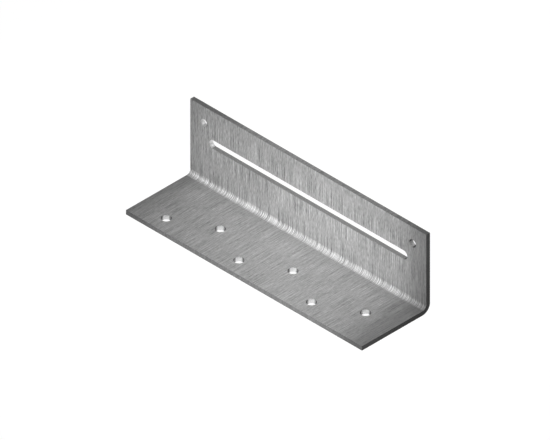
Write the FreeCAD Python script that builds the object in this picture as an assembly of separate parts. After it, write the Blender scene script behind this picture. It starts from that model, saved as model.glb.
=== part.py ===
import FreeCAD, Part
import math
import os
from FreeCAD import Vector

# Angle bracket, folded as one piece from flat steel sheet.
# The base flange lies on the ground and carries two staggered rows of holes.
# The wall flange stands up from the base's back edge, with a long slot and
# one small hole near each top corner.
# Lengths are in millimetres. X runs along the fold, Y from the base's front
# edge to the wall's back face, and Z up. The origin is at the middle of the
# bracket's footprint, on the ground.

INCH = 25.4

# Sheet and fold. The sheet is 12 gauge steel.
SHEET = 2.657
INSIDE_BEND_RADIUS = 2.66
LENGTH = 6.5 * INCH
BASE_DEPTH = 1.875 * INCH
WALL_HEIGHT = 1.875 * INCH
EDGE_BREAK = 0.12

# Round holes through the base flange, in a front and a back row.
# Each hole is one step further along than the last, in the other row, and
# there are as many as fit between the end margins.
BASE_HOLE_DIAMETER = 5.556
BASE_HOLE_STEP = 1.0 * INCH
BASE_HOLE_END_MARGIN = 0.75 * INCH
STEP_TOLERANCE = 0.01
FRONT_ROW_SETBACK = 9.15
ROW_SPACING = 12.5

# Small round hole near each top corner of the wall flange.
CORNER_HOLE_DIAMETER = 4.6
CORNER_HOLE_END_MARGIN = 0.375 * INCH
CORNER_HOLE_DROP = 9.9

# Long slot with round ends through the wall flange.
# Its end margin is measured to the centre of the round end.
SLOT_WIDTH = 5.24
SLOT_END_MARGIN = 0.625 * INCH
SLOT_DROP = 19.86

# How far a punch runs past each face of the sheet.
PUNCH_OVERRUN = 1.0

front_y = -BASE_DEPTH / 2
back_y = BASE_DEPTH / 2
end_x = LENGTH / 2
outside_bend_radius = INSIDE_BEND_RADIUS + SHEET
bend_y = back_y - outside_bend_radius
bend_z = outside_bend_radius


def section_arc(radius):
    """Quarter circle of the fold, from the base up to the wall."""
    middle = radius * math.sqrt(0.5)
    low = Vector(0, bend_y, bend_z - radius)
    halfway = Vector(0, bend_y + middle, bend_z - middle)
    high = Vector(0, bend_y + radius, bend_z)
    return Part.Arc(low, halfway, high).toShape()


def folded_sheet():
    """The bent strip before punching: its end profile swept along the fold."""
    inside_wall_y = back_y - SHEET
    outside_arc = section_arc(outside_bend_radius)
    inside_arc = section_arc(INSIDE_BEND_RADIUS)
    runs = [
        (Vector(0, front_y, SHEET), Vector(0, front_y, 0)),
        (Vector(0, front_y, 0), Vector(0, bend_y, 0)),
        (Vector(0, back_y, bend_z), Vector(0, back_y, WALL_HEIGHT)),
        (Vector(0, back_y, WALL_HEIGHT), Vector(0, inside_wall_y, WALL_HEIGHT)),
        (Vector(0, inside_wall_y, WALL_HEIGHT), Vector(0, inside_wall_y, bend_z)),
        (Vector(0, bend_y, SHEET), Vector(0, front_y, SHEET)),
    ]
    edges = [Part.LineSegment(start, end).toShape() for start, end in runs]
    edges += [outside_arc, inside_arc]
    profile = Part.Face(Part.Wire(Part.__sortEdges__(edges)))
    profile.translate(Vector(-end_x, 0, 0))
    return profile.extrude(Vector(LENGTH, 0, 0))


def base_hole_centres():
    """Hole centres seen from above, from the left end to the right end."""
    usable = LENGTH - 2 * BASE_HOLE_END_MARGIN
    steps = math.floor(usable / BASE_HOLE_STEP + STEP_TOLERANCE)
    first_x = -steps * BASE_HOLE_STEP / 2
    centres = []
    for index in range(steps + 1):
        row_y = front_y + FRONT_ROW_SETBACK + (index % 2) * ROW_SPACING
        centres.append((first_x + index * BASE_HOLE_STEP, row_y))
    return centres


def base_punches():
    """Round punches that pass down through the base flange."""
    depth = SHEET + 2 * PUNCH_OVERRUN
    return [
        Part.makeCylinder(BASE_HOLE_DIAMETER / 2, depth, Vector(x, y, -PUNCH_OVERRUN))
        for x, y in base_hole_centres()
    ]


def wall_punch(outline):
    """Turn an outline drawn about the origin, in X and Z, into a wall punch."""
    face = Part.Face(outline)
    face.translate(Vector(0, back_y - SHEET - PUNCH_OVERRUN, 0))
    return face.extrude(Vector(0, SHEET + 2 * PUNCH_OVERRUN, 0))


def corner_punches():
    """Round punches for the small holes near the wall's top corners."""
    centre_x = end_x - CORNER_HOLE_END_MARGIN
    centre_z = WALL_HEIGHT - CORNER_HOLE_DROP
    punches = []
    for side in (-1, 1):
        centre = Vector(side * centre_x, 0, centre_z)
        circle = Part.Circle(centre, Vector(0, 1, 0), CORNER_HOLE_DIAMETER / 2)
        punches.append(wall_punch(Part.Wire(circle.toShape())))
    return punches


def slot_punch():
    """Punch for the long slot: two straight sides and two half circles."""
    half_run = end_x - SLOT_END_MARGIN
    radius = SLOT_WIDTH / 2
    centre_z = WALL_HEIGHT - SLOT_DROP
    edges = []
    for side in (-1, 1):
        top = Vector(side * half_run, 0, centre_z + radius)
        tip = Vector(side * (half_run + radius), 0, centre_z)
        bottom = Vector(side * half_run, 0, centre_z - radius)
        edges.append(Part.Arc(top, tip, bottom).toShape())
    for height in (centre_z - radius, centre_z + radius):
        left = Vector(-half_run, 0, height)
        right = Vector(half_run, 0, height)
        edges.append(Part.LineSegment(left, right).toShape())
    return wall_punch(Part.Wire(Part.__sortEdges__(edges)))


def normal_beside(face, point):
    """Outward normal of a face at the place nearest to a point."""
    u, v = face.Surface.parameter(point)
    return face.normalAt(u, v)


def cut_edges(solid):
    """Edges where two faces meet at a corner, and not where one flows on."""
    corners = []
    for edge in solid.Edges:
        faces = solid.ancestorsOfType(edge, Part.Face)
        if len(faces) != 2:
            continue
        point = edge.valueAt((edge.FirstParameter + edge.LastParameter) / 2)
        turn = normal_beside(faces[0], point).getAngle(normal_beside(faces[1], point))
        if turn > math.radians(45):
            corners.append(edge)
    return corners


def angle_bracket():
    """The folded strip with every hole punched and its cut edges broken."""
    punches = base_punches() + corner_punches() + [slot_punch()]
    blank = folded_sheet().cut(punches)
    solid = blank.Solids[0]
    return solid.makeChamfer(EDGE_BREAK, cut_edges(solid))


os.makedirs("parts", exist_ok=True)
angle_bracket().exportStep("parts/angle_bracket.step")
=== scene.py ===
import math

import bmesh
import bpy
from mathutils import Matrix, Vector


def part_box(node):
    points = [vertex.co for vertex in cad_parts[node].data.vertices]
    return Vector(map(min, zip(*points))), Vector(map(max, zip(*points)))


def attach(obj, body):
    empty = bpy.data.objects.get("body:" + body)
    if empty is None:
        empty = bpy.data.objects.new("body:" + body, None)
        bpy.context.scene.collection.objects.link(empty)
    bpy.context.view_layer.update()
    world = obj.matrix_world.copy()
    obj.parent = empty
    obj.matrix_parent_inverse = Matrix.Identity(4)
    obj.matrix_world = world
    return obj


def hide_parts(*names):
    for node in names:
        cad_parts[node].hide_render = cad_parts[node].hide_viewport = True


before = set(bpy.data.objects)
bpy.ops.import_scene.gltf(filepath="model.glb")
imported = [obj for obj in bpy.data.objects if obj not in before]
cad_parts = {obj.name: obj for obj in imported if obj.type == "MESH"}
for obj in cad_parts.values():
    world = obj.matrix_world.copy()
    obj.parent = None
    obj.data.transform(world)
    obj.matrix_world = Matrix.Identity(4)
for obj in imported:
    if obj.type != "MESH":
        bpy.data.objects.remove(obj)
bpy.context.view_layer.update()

# A folded and brushed sheet-steel angle bracket, in metres, in the frame that
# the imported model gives: X along the fold, Y from the base's front edge to the
# wall's back face, Z up.

MM = 0.001

low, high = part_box("angle_bracket")
LEFT, FRONT, GROUND = low
RIGHT, BACK, TOP = high
LENGTH = RIGHT - LEFT

# Sheet and fold.
SHEET = 2.657 * MM
INSIDE_BEND = 2.66 * MM
OUTSIDE_BEND = INSIDE_BEND + SHEET
BEND_Y = BACK - OUTSIDE_BEND
BEND_Z = GROUND + OUTSIDE_BEND
BEND_ANGLE = math.radians(90)
BEND_STEPS = 32

# Round holes in the base flange: six, alternating between two rows.
BASE_HOLE_RADIUS = 5.556 / 2 * MM
BASE_HOLE_STEP = 25.4 * MM
BASE_HOLES = 6
FRONT_ROW_Y = FRONT + 9.15 * MM
ROW_SPACING = 12.5 * MM

# Small round holes and the long slot in the wall flange.
CORNER_HOLE_RADIUS = 4.6 / 2 * MM
CORNER_HOLE_INSET = 9.525 * MM
CORNER_HOLE_Z = TOP - 9.9 * MM
SLOT_RADIUS = 5.24 / 2 * MM
SLOT_INSET = 15.875 * MM
SLOT_Z = TOP - 19.86 * MM

# Punches. The wall's are turned to point along Y.
PUNCH_LENGTH = 12 * MM
HOLE_SIDES = 96
ALONG_Y = math.radians(90)

# Cut edges, which turn more sharply than any step of the bend or of a hole.
EDGE_BREAK = 0.12 * MM
EDGE_BREAK_STEPS = 2
CUT_EDGE_TURN = math.radians(40)
SMOOTH_TURN = math.radians(30)

# How alike two directions are when they count as one, and how near two corners.
FACES_SAME_WAY = 0.95
MERGE_DISTANCE = 0.001 * MM


def deselect_all():
    bpy.ops.object.select_all(action="DESELECT")


def select_only(piece):
    deselect_all()
    piece.select_set(True)
    bpy.context.view_layer.objects.active = piece


def apply_modifiers(piece):
    select_only(piece)
    for modifier in list(piece.modifiers):
        bpy.ops.object.modifier_apply(modifier=modifier.name)


def flat_strip():
    """The base flange's straight part, as a bar as thick as the sheet."""
    deselect_all()
    depth = BEND_Y - FRONT
    bpy.ops.mesh.primitive_cube_add(size=1, location=(0, FRONT + depth / 2, GROUND + SHEET / 2))
    strip = bpy.context.active_object
    strip.name = "brushed_angle"
    bpy.ops.transform.resize(value=(LENGTH, depth, SHEET))
    bpy.ops.object.transform_apply(location=True, rotation=True, scale=True)
    return strip


def fold_up_wall(strip):
    """Spin the strip's back end round the fold, then draw it up to the wall's height."""
    select_only(strip)
    bpy.ops.object.mode_set(mode="EDIT")
    mesh = bmesh.from_edit_mesh(strip.data)
    for face in mesh.faces:
        face.select_set(face.normal.y > FACES_SAME_WAY)
    bmesh.update_edit_mesh(strip.data)
    bpy.ops.mesh.spin(steps=BEND_STEPS, angle=BEND_ANGLE, center=(0, BEND_Y, BEND_Z), axis=(-1, 0, 0))
    bpy.ops.mesh.extrude_region_move(TRANSFORM_OT_translate={"value": (0, 0, TOP - BEND_Z)})
    bpy.ops.mesh.select_all(action="SELECT")
    bpy.ops.mesh.remove_doubles(threshold=MERGE_DISTANCE)
    bpy.ops.mesh.normals_make_consistent(inside=False)
    bpy.ops.object.mode_set(mode="OBJECT")


def round_punch(radius, place, turn):
    """A punch for one round hole."""
    deselect_all()
    bpy.ops.mesh.primitive_cylinder_add(
        vertices=HOLE_SIDES, radius=radius, depth=PUNCH_LENGTH, location=place, rotation=turn
    )
    return bpy.context.active_object


def slot_punch():
    """A round punch drawn apart along X, so that both of its ends stay half round."""
    half_step = math.radians(180) / HOLE_SIDES
    punch = round_punch(SLOT_RADIUS, (0, BACK - SHEET / 2, SLOT_Z), (ALONG_Y, half_step, 0))
    bpy.ops.object.transform_apply(location=True, rotation=True, scale=True)
    reach = LENGTH / 2 - SLOT_INSET
    for vertex in punch.data.vertices:
        vertex.co.x += math.copysign(reach, vertex.co.x)
    return punch


def punch_holes(strip):
    """Cut every hole and the slot through the folded strip."""
    punches = [slot_punch()]
    for index in range(BASE_HOLES):
        x = (index - (BASE_HOLES - 1) / 2) * BASE_HOLE_STEP
        y = FRONT_ROW_Y + index % 2 * ROW_SPACING
        punches.append(round_punch(BASE_HOLE_RADIUS, (x, y, GROUND + SHEET / 2), (0, 0, 0)))
    for end_x in (LEFT + CORNER_HOLE_INSET, RIGHT - CORNER_HOLE_INSET):
        place = (end_x, BACK - SHEET / 2, CORNER_HOLE_Z)
        punches.append(round_punch(CORNER_HOLE_RADIUS, place, (ALONG_Y, 0, 0)))
    for punch in punches:
        cut = strip.modifiers.new("punch", "BOOLEAN")
        cut.operation = "DIFFERENCE"
        cut.solver = "EXACT"
        cut.object = punch
    apply_modifiers(strip)
    for punch in punches:
        bpy.data.objects.remove(punch)


def break_edges(strip):
    """Take the sharpness off every cut edge, and leave the flats truly flat."""
    bevel = strip.modifiers.new("edge_break", "BEVEL")
    bevel.width = EDGE_BREAK
    bevel.segments = EDGE_BREAK_STEPS
    bevel.limit_method = "ANGLE"
    bevel.angle_limit = CUT_EDGE_TURN
    apply_modifiers(strip)
    bpy.ops.object.shade_smooth_by_angle(angle=SMOOTH_TURN)
    flats = strip.modifiers.new("flats", "WEIGHTED_NORMAL")
    flats.keep_sharp = True
    apply_modifiers(strip)


# The sheet's own pattern. U runs along the fold and V across the flat blank, so
# that brushing done before the bend carries on round it without a break.
PATTERN = "flat_pattern"
NEUTRAL_BEND = INSIDE_BEND + SHEET / 2
FOLD_WIDTH = NEUTRAL_BEND * BEND_ANGLE
FOLD_MIDDLE = FOLD_WIDTH / 2


def across_blank(point):
    """How far across the flat blank a place lies, from where the base meets the bend."""
    if point.y <= BEND_Y:
        return point.y - BEND_Y
    if point.z >= BEND_Z:
        return FOLD_WIDTH + point.z - BEND_Z
    return NEUTRAL_BEND * math.atan2(point.y - BEND_Y, BEND_Z - point.z)


def lay_out_pattern(piece):
    """Give every corner of the mesh its place on the flat blank, in metres."""
    mesh = piece.data
    layer = mesh.uv_layers.new(name=PATTERN)
    for loop in mesh.loops:
        place = mesh.vertices[loop.vertex_index].co
        layer.data[loop.index].uv = (place.x, across_blank(place))


# Each hole's wall is painted by the way it faces: a painted highlight on one side,
# a middle tone beyond that, and painted shade beyond that. These give the way that
# the highlight faces, how many degrees the wall turns from there before it is no longer
# the highlight, and how many before it is painted shade. The right corner hole has no highlight.
BASE_HOLE_PAINTED_LIGHT = (Vector((1, -1, 0)), 33, 48)
SLOT_PAINTED_LIGHT = (Vector((2, 0, 1)), 50, 68)
LEFT_CORNER_PAINTED_LIGHT = (Vector((6, 0, 5)), 60, 82)
RIGHT_CORNER_PAINTED_LIGHT = (Vector((1, 0, 1)), 0, 36)
BORE_PAINTED_LIGHTS = ("bore_painted_highlight", "bore_painted_half_light", "bore_painted_shade")

# How near to an outer edge the middle of a cut face lies.
CUT_FACE_REACH = 2 * EDGE_BREAK


def through_sheet(point):
    """The direction straight through the sheet at a place on the folded strip."""
    across = Vector((0, max(point.y - BEND_Y, 0), min(point.z - BEND_Z, 0)))
    if across.length == 0:
        across.y = 1
    return across.normalized()


def skin_at(place):
    """The brushed finish of the sheet's skin at a place: on the base, wall or bend."""
    if place.y <= BEND_Y:
        return "belt_brushed_steel_base"
    if place.z >= BEND_Z:
        return "belt_brushed_steel_wall"
    return "press_bent_steel"


def bore_painted_light_of(place, normal):
    """The painted highlight, middle tone or painted shade of a hole's wall, by its hole and by where the
    wall faces.
    """
    bore_light = BASE_HOLE_PAINTED_LIGHT
    if abs(place.z - SLOT_Z) <= SLOT_RADIUS:
        bore_light = SLOT_PAINTED_LIGHT
    elif place.z > SLOT_Z:
        bore_light = LEFT_CORNER_PAINTED_LIGHT if place.x < 0 else RIGHT_CORNER_PAINTED_LIGHT
    lit_way, highlight_turn, shade_turn = bore_light
    turned = math.degrees(normal.angle(lit_way))
    return BORE_PAINTED_LIGHTS[(turned > highlight_turn) + (turned > shade_turn)]


def finish_of(face):
    """Which material a face has: by how the sheet's skin or that cut edge was made, and in a hole by the
    painted highlight or shade of the way its wall faces.
    """
    place = face.center
    if abs(face.normal.dot(through_sheet(place))) > FACES_SAME_WAY:
        return skin_at(place)
    if min(place.x - LEFT, RIGHT - place.x) < CUT_FACE_REACH:
        return "sheared_steel_end"
    if TOP - place.z < CUT_FACE_REACH:
        return "slit_steel_top"
    if place.y - FRONT < CUT_FACE_REACH:
        return "slit_steel_front"
    return bore_painted_light_of(place, face.normal)


def linear(colour):
    """A colour written as sRGB hex, as the linear value that a shader takes."""
    channels = [int(colour[place:place + 2], 16) / 255 for place in (1, 3, 5)]
    return [c / 12.92 if c <= 0.04045 else ((c + 0.055) / 1.055) ** 2.4 for c in channels] + [1]


def add_node(material, kind, inputs, **settings):
    """Add one node with its settings, and set or link its inputs."""
    node = material.node_tree.nodes.new(kind)
    for name, value in settings.items():
        setattr(node, name, value)
    for name, value in inputs.items():
        if isinstance(value, bpy.types.NodeSocket):
            material.node_tree.links.new(value, node.inputs[name])
        else:
            node.inputs[name].default_value = value
    return node


def link(material, output, socket):
    material.node_tree.links.new(output, socket)


def new_material(name, metallic):
    """A material and its shader, equally metallic all over."""
    material = bpy.data.materials.new(name)
    material.use_nodes = True
    shader = material.node_tree.nodes["Principled BSDF"]
    shader.inputs["Metallic"].default_value = metallic
    return material, shader


# Brush marks, each as its width along the fold and its length across it. Real
# marks are about 0.1 mm wide, too fine to show, so these are drawn 0.3 mm wide.
LONG_MARKS = (0.3 * MM, 15 * MM)
SHORT_MARKS = (0.3 * MM, 2.5 * MM)
CLOUDS = (4 * MM, 30 * MM)
CLOUD_SHARE = 0.08

# What the marks do to the shine: their depth, how rough the furrows and the ridges
# between them are, and how far a highlight is drawn out across the marks.
FURROW_DEPTH = 0.01 * MM
FURROW_ROUGHNESS = 0.64
RIDGE_ROUGHNESS = 0.52
BRUSHED_STRETCH = 0.3

# Marks on the cut edges, each as its size along X, Y and Z: ribs across a slit edge,
# and spots on a sheared end and in a hole. Real ones are finer than 0.3 mm, too fine
# to show, so these are drawn coarser.
SLIT_RIBS = (0.8 * MM, 3 * MM, 3 * MM)
SHEAR_SPOTS = (3 * MM, 0.8 * MM, 0.8 * MM)
BORE_SPOTS = (0.6 * MM, 0.6 * MM, 0.6 * MM)
SCORE_DEPTH = 0.02 * MM

# Noise lies about this middle, and nearly always within this reach of it.
NOISE_MIDDLE = 0.5
NOISE_REACH = 0.25

# Painted shade toward each end and beside the fold: there the steel's colour
# is mixed toward a darker, plainer tone. Each such place is a direction on the
# flat blank, the darker tone, a line across that direction, the distances from the
# line between which the painted shade changes, and its share at each of them.
SKIN_SHADE_TONE = "#747474"
SKIN_END_FADE = 22 * MM
EDGE_END_FADE = 30 * MM
END_SHADE_SHARE = 0.65
SKIN_FOLD_FADE = 10 * MM
SHEARED_FOLD_FADE = 36 * MM

# Where along the fold the skin, the bend and the top edge are brightest: the middle of their painted
# shade toward the ends.
SKIN_LIGHT_MIDDLE = -4 * MM
BEND_LIGHT_MIDDLE = -12 * MM
TOP_LIGHT_MIDDLE = 8 * MM


def painted_shade_toward_ends(tone, middle, fade):
    """Painted shade: darker toward the bracket's ends than at its brightest place along the fold."""
    reach = LENGTH / 2 - middle
    return "X", tone, middle, (reach - fade, reach), (0, END_SHADE_SHARE)


def painted_shade_beside_fold(tone, fade, share):
    """Painted shade: darker beside the fold than farther out on the flanges."""
    return "Y", tone, FOLD_MIDDLE, (FOLD_MIDDLE, FOLD_MIDDLE + fade), (share, 0)


def with_painted_shade(material, colour, painted_shades):
    """A colour with the painted shade of each of its places mixed in."""
    for direction, tone, line, distances, shares in painted_shades:
        blank = add_node(material, "ShaderNodeUVMap", {}, uv_map=PATTERN)
        place = add_node(material, "ShaderNodeSeparateXYZ", {"Vector": blank.outputs["UV"]})
        offset = add_node(
            material, "ShaderNodeMath", {0: place.outputs[direction], 1: line}, operation="SUBTRACT"
        )
        distance = add_node(material, "ShaderNodeMath", {0: offset.outputs[0]}, operation="ABSOLUTE")
        share = add_node(
            material, "ShaderNodeMapRange",
            {"Value": distance.outputs[0], "From Min": distances[0], "From Max": distances[1],
             "To Min": shares[0], "To Max": shares[1]},
            interpolation_type="SMOOTHSTEP",
        )
        mixed = add_node(
            material, "ShaderNodeMix",
            {0: share.outputs["Result"], 6: colour, 7: linear(tone)},
            data_type="RGBA",
        )
        colour = mixed.outputs[2]
    return colour


def tone_by_marks(material, marks, tones, contrast):
    """A tone from dark to light by the marks, which reach both ends at a contrast of 1."""
    share = add_node(
        material, "ShaderNodeMapRange",
        {"Value": marks, "From Min": NOISE_MIDDLE - NOISE_REACH / contrast,
         "From Max": NOISE_MIDDLE + NOISE_REACH / contrast},
    )
    tone = add_node(
        material, "ShaderNodeMix",
        {0: share.outputs["Result"], 6: linear(tones[0]), 7: linear(tones[1])},
        data_type="RGBA",
    )
    return tone.outputs[2]


def layered_marks(material, blank, short_share):
    """The brush marks' height, and the same with faint clouds, both about 0 to 1."""
    layers = []
    for width, length in (LONG_MARKS, SHORT_MARKS, CLOUDS):
        stretched = add_node(
            material, "ShaderNodeMapping",
            {"Vector": blank, "Scale": (1 / width, 1 / length, 1)},
        )
        layers.append(add_node(
            material, "ShaderNodeTexNoise",
            {"Vector": stretched.outputs["Vector"], "Scale": 1, "Detail": 1, "Roughness": 0.5},
            noise_dimensions="2D",
        ))
    long_marks, short_marks, clouds = layers
    marks = add_node(
        material, "ShaderNodeMix",
        {0: short_share, 2: long_marks.outputs["Fac"], 3: short_marks.outputs["Fac"]},
        data_type="FLOAT",
    )
    clouded = add_node(
        material, "ShaderNodeMix",
        {0: CLOUD_SHARE, 2: marks.outputs[0], 3: clouds.outputs["Fac"]},
        data_type="FLOAT",
    )
    return marks.outputs[0], clouded.outputs[0]


def brushed_steel(name, metallic, tones, contrast, short_share, painted_shades):
    """Sheet skin, from dark to light in brush marks across the fold."""
    material, shader = new_material(name, metallic)
    blank = add_node(material, "ShaderNodeUVMap", {}, uv_map=PATTERN)
    marks, clouded = layered_marks(material, blank.outputs["UV"], short_share)
    tone = tone_by_marks(material, clouded, tones, contrast)
    link(material, with_painted_shade(material, tone, painted_shades), shader.inputs["Base Color"])
    roughness = add_node(
        material, "ShaderNodeMapRange",
        {"Value": marks, "From Min": NOISE_MIDDLE - NOISE_REACH, "From Max": NOISE_MIDDLE + NOISE_REACH,
         "To Min": FURROW_ROUGHNESS, "To Max": RIDGE_ROUGHNESS},
    )
    link(material, roughness.outputs["Result"], shader.inputs["Roughness"])
    furrows = add_node(
        material, "ShaderNodeBump",
        {"Height": marks, "Strength": 1, "Distance": FURROW_DEPTH},
    )
    link(material, furrows.outputs["Normal"], shader.inputs["Normal"])
    grain = add_node(material, "ShaderNodeTangent", {}, direction_type="UV_MAP", uv_map=PATTERN)
    link(material, grain.outputs["Tangent"], shader.inputs["Tangent"])
    shader.inputs["Anisotropic"].default_value = BRUSHED_STRETCH
    return material


def belt_brushed_steel_wall():
    """Cold-rolled steel, belt-brushed before folding: satin mid grey, finely streaked upward."""
    return brushed_steel(
        "belt_brushed_steel_wall",
        metallic=0.14, tones=("#484848", "#EEEEEE"), contrast=1, short_share=0.38,
        # Painted shade toward the ends and beside the fold.
        painted_shades=[
            painted_shade_toward_ends(SKIN_SHADE_TONE, SKIN_LIGHT_MIDDLE, SKIN_END_FADE),
            painted_shade_beside_fold(SKIN_SHADE_TONE, SKIN_FOLD_FADE, 0.18),
        ],
    )


def belt_brushed_steel_base():
    """The same skin, rubbed on the base: the streaks run front to back and show less."""
    return brushed_steel(
        "belt_brushed_steel_base",
        metallic=0.2, tones=("#484848", "#EEEEEE"), contrast=0.66, short_share=0.38,
        # Painted shade toward the ends and beside the fold.
        painted_shades=[
            painted_shade_toward_ends(SKIN_SHADE_TONE, SKIN_LIGHT_MIDDLE, SKIN_END_FADE),
            painted_shade_beside_fold(SKIN_SHADE_TONE, SKIN_FOLD_FADE, 0.22),
        ],
    )


def press_bent_steel():
    """The same skin stretched round the bend: a band of glints, the brightest of all, partly from its
    shine and partly from lighter tones that are a painted highlight, with painted shade toward the ends.
    """
    return brushed_steel(
        "press_bent_steel",
        # Lighter tones than the skin's: partly a painted highlight.
        metallic=0.45, tones=("#545454", "#FCFCFC"), contrast=1.1, short_share=0.05,
        # Painted shade toward the ends, away from its brightest place.
        painted_shades=[painted_shade_toward_ends(SKIN_SHADE_TONE, BEND_LIGHT_MIDDLE, SKIN_END_FADE)],
    )


def cut_steel(name, metallic, tones, roughness, mark_size, painted_shades=()):
    """A cut edge of the sheet, from dark to light in marks of one size along each axis."""
    material, shader = new_material(name, metallic)
    shader.inputs["Roughness"].default_value = roughness
    place = add_node(material, "ShaderNodeTexCoord", {})
    marks_at = add_node(
        material, "ShaderNodeMapping",
        {"Vector": place.outputs["Object"], "Scale": [1 / size for size in mark_size]},
    )
    marks = add_node(
        material, "ShaderNodeTexNoise",
        {"Vector": marks_at.outputs["Vector"], "Scale": 1, "Detail": 2},
    )
    tone = tone_by_marks(material, marks.outputs["Fac"], tones, contrast=1)
    link(material, with_painted_shade(material, tone, painted_shades), shader.inputs["Base Color"])
    scores = add_node(
        material, "ShaderNodeBump",
        {"Height": marks.outputs["Fac"], "Strength": 1, "Distance": SCORE_DEPTH},
    )
    link(material, scores.outputs["Normal"], shader.inputs["Normal"])
    return material


def slit_steel_top():
    """Wall's slit top edge: satin, a little darker than the skin, faintly ribbed."""
    return cut_steel(
        "slit_steel_top",
        metallic=0.5, tones=("#868686", "#B6B6B6"), roughness=0.5, mark_size=SLIT_RIBS,
        # Painted shade toward the ends.
        painted_shades=[painted_shade_toward_ends("#6C6C6C", TOP_LIGHT_MIDDLE, EDGE_END_FADE)],
    )


def slit_steel_front():
    """Base's slit edge: as the wall's, in darker tones that are painted shade, and with painted shade
    toward the ends.
    """
    return cut_steel(
        "slit_steel_front",
        metallic=0.3, tones=("#6C6C6C", "#8E8E8E"), roughness=0.55, mark_size=SLIT_RIBS,
        # Painted shade toward the ends.
        painted_shades=[painted_shade_toward_ends("#505050", 0, EDGE_END_FADE)],
    )


def sheared_steel_end():
    """End left by the shear: dull and dark, partly in its own tone and partly as painted shade, with
    painted shade deepest round the fold, and finely spotted.
    """
    return cut_steel(
        "sheared_steel_end",
        metallic=0.5, tones=("#373737", "#4C4C4C"), roughness=0.6, mark_size=SHEAR_SPOTS,
        # Painted shade, nearly black, round the fold.
        painted_shades=[painted_shade_beside_fold("#101010", SHEARED_FOLD_FADE, 0.6)],
    )


def bore_painted_highlight():
    """Painted highlight on a hole wall that faces the lit way: bright, nearly white."""
    return cut_steel(
        "bore_painted_highlight",
        metallic=0.5, tones=("#E0E0E0", "#FFFFFF"), roughness=0.45, mark_size=BORE_SPOTS,
    )


def bore_painted_half_light():
    """Hole and slot wall between the painted highlight and the painted shade: satin, a little darker
    than the skin.
    """
    return cut_steel(
        "bore_painted_half_light",
        metallic=0.3, tones=("#969696", "#C6C6C6"), roughness=0.5, mark_size=BORE_SPOTS,
    )


def bore_painted_shade():
    """Painted shade on a hole wall that faces away from the painted highlight: rough and dark."""
    return cut_steel(
        "bore_painted_shade",
        metallic=0.3, tones=("#505050", "#808080"), roughness=0.6, mark_size=BORE_SPOTS,
    )


def dress(piece):
    """Give each face of the strip the material of its finish."""
    finishes = [belt_brushed_steel_wall(), belt_brushed_steel_base(), press_bent_steel()]
    finishes += [slit_steel_top(), slit_steel_front(), sheared_steel_end()]
    finishes += [bore_painted_highlight(), bore_painted_half_light(), bore_painted_shade()]
    for material in finishes:
        piece.data.materials.append(material)
    names = [material.name for material in finishes]
    for face in piece.data.polygons:
        face.material_index = names.index(finish_of(face))


strip = flat_strip()
fold_up_wall(strip)
punch_holes(strip)
break_edges(strip)
lay_out_pattern(strip)
dress(strip)
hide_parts("angle_bracket")
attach(strip, "root")

# Studio: a plain pale floor that the camera and reflections see as white, with
# enough of its own colour left to take the bracket's faint shadow.
FLOOR_SIZE = 6
FLOOR_GLOW = 0.985
FLOOR_LIT = 0.12


def studio_floor():
    material = bpy.data.materials.new("pale_paper")
    material.use_nodes = True
    nodes = material.node_tree.nodes
    nodes.remove(nodes["Principled BSDF"])
    rays = add_node(material, "ShaderNodeLightPath", {})
    camera_or_glossy = add_node(
        material, "ShaderNodeMath",
        {0: rays.outputs["Is Camera Ray"], 1: rays.outputs["Is Glossy Ray"]},
        operation="MAXIMUM",
    )
    seen = add_node(
        material, "ShaderNodeMath",
        {0: camera_or_glossy.outputs[0], 1: rays.outputs["Is Transmission Ray"]},
        operation="MAXIMUM",
    )
    paper = add_node(material, "ShaderNodeBsdfDiffuse", {"Color": linear("#E8E8E8")})
    glow = add_node(material, "ShaderNodeEmission", {"Color": linear("#FFFFFF"), "Strength": FLOOR_GLOW})
    faint_paper = add_node(material, "ShaderNodeBsdfDiffuse", {"Color": [FLOOR_LIT] * 3 + [1]})
    white = add_node(material, "ShaderNodeAddShader", {0: glow.outputs[0], 1: faint_paper.outputs[0]})
    surface = add_node(
        material, "ShaderNodeMixShader",
        {0: seen.outputs[0], 1: paper.outputs[0], 2: white.outputs[0]},
    )
    link(material, surface.outputs[0], nodes["Material Output"].inputs["Surface"])
    return material


deselect_all()
bpy.ops.mesh.primitive_plane_add(size=FLOOR_SIZE, location=(0, 0, GROUND))
floor = bpy.context.active_object
floor.name = "floor"
floor.data.materials.append(studio_floor())

# Lamps, each aimed at a place along the bracket's middle, part of the way up.
AIM_HEIGHT = 20 * MM
SPOT_DISTANCE = 0.6
SPOT_RADIUS = 0.05
WHOLE_BRACKET = 90 * MM
LEFT_OF_FOLD = 40 * MM


def way_out(left, up):
    """The way out from the bracket, so many degrees left of its front and so many up."""
    left, up = math.radians(left), math.radians(up)
    return Vector((-math.sin(left) * math.cos(up), -math.cos(left) * math.cos(up), math.sin(up)))


def stand(name, data, target, way, distance):
    """Stand a lamp or the camera at a distance from its target, and face it there."""
    item = bpy.data.objects.new(name, data)
    bpy.context.scene.collection.objects.link(item)
    item.location = target + way * distance
    item.rotation_euler = (-way).to_track_quat("-Z", "Y").to_euler()
    return item


def soft_box(name, toward, aim_x, distance, size, spread, brightness):
    """A square soft box with a grid that keeps its light within a spread, in degrees."""
    data = bpy.data.lights.new(name, "AREA")
    data.shape = "SQUARE"
    data.size = size
    data.spread = math.radians(spread)
    data.energy = math.pi * size ** 2 * brightness
    stand(name, data, Vector((aim_x, 0, GROUND + AIM_HEIGHT)), way_out(*toward), distance)


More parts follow.
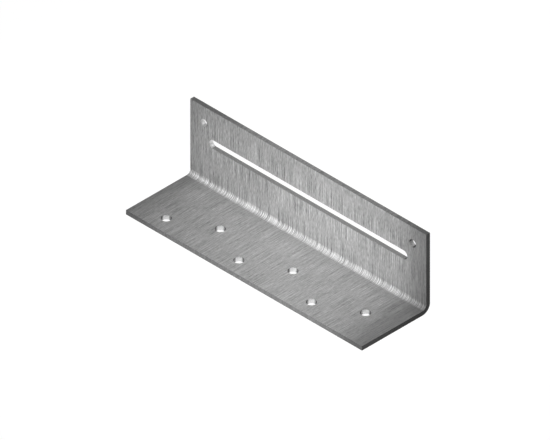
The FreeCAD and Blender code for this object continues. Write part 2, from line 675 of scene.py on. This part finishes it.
def soft_spot(name, toward, aim_x, brightness, reach):
    """A soft round spot that thins out toward its reach, the radius of what it lights."""
    data = bpy.data.lights.new(name, "SPOT")
    data.shadow_soft_size = SPOT_RADIUS
    data.spot_size = 2 * math.atan(reach / SPOT_DISTANCE)
    data.spot_blend = 1
    data.energy = 4 * math.pi ** 2 * SPOT_DISTANCE ** 2 * brightness
    stand(name, data, Vector((aim_x, 0, GROUND + AIM_HEIGHT)), way_out(*toward), SPOT_DISTANCE)


soft_box("key", (45, 20), -40 * MM, distance=0.5, size=0.3, spread=40, brightness=0.308)
soft_box("high_key", (45, 38), -40 * MM, distance=0.5, size=0.3, spread=40, brightness=0.047)
soft_box("back_fill", (135, 30), 0, distance=0.5, size=0.3, spread=50, brightness=0.029)
soft_box("hole_glint", (-152, 41), -20 * MM, distance=0.33, size=0.2, spread=180, brightness=2.4)
soft_spot("front", (0, 10), 32 * MM, brightness=0.277, reach=WHOLE_BRACKET)
soft_spot("left", (90, 40), 8 * MM, brightness=0.46, reach=WHOLE_BRACKET)
soft_spot("right_front", (-45, 28), 11 * MM, brightness=0.746, reach=WHOLE_BRACKET)
soft_spot("left_of_fold", (45, 40), -100 * MM, brightness=0.354, reach=LEFT_OF_FOLD)

# Camera: a true isometric view, square on to the corner of a cube, with no
# perspective, so its distance changes nothing.
FRAME_WIDTH = 550
PIXEL = 0.49464 * MM
ISOMETRIC_RISE = math.degrees(math.atan(math.sqrt(0.5)))
VIEW_CENTRE = Vector((LEFT + 55.52 * MM, FRONT + 48.75 * MM, GROUND))
CAMERA_DISTANCE = 1

camera_data = bpy.data.cameras.new("camera")
camera_data.type = "ORTHO"
camera_data.ortho_scale = FRAME_WIDTH * PIXEL
camera = stand("camera", camera_data, VIEW_CENTRE, way_out(-45, ISOMETRIC_RISE), CAMERA_DISTANCE)
bpy.context.scene.camera = camera

# A dim room around the lamps.
ROOM_LIGHT = 0.03
world = bpy.data.worlds.new("studio")
world.use_nodes = True
world.node_tree.nodes["Background"].inputs["Color"].default_value = linear("#FFFFFF")
world.node_tree.nodes["Background"].inputs["Strength"].default_value = ROOM_LIGHT
bpy.context.scene.world = world

bpy.context.scene.view_settings.view_transform = "Standard"
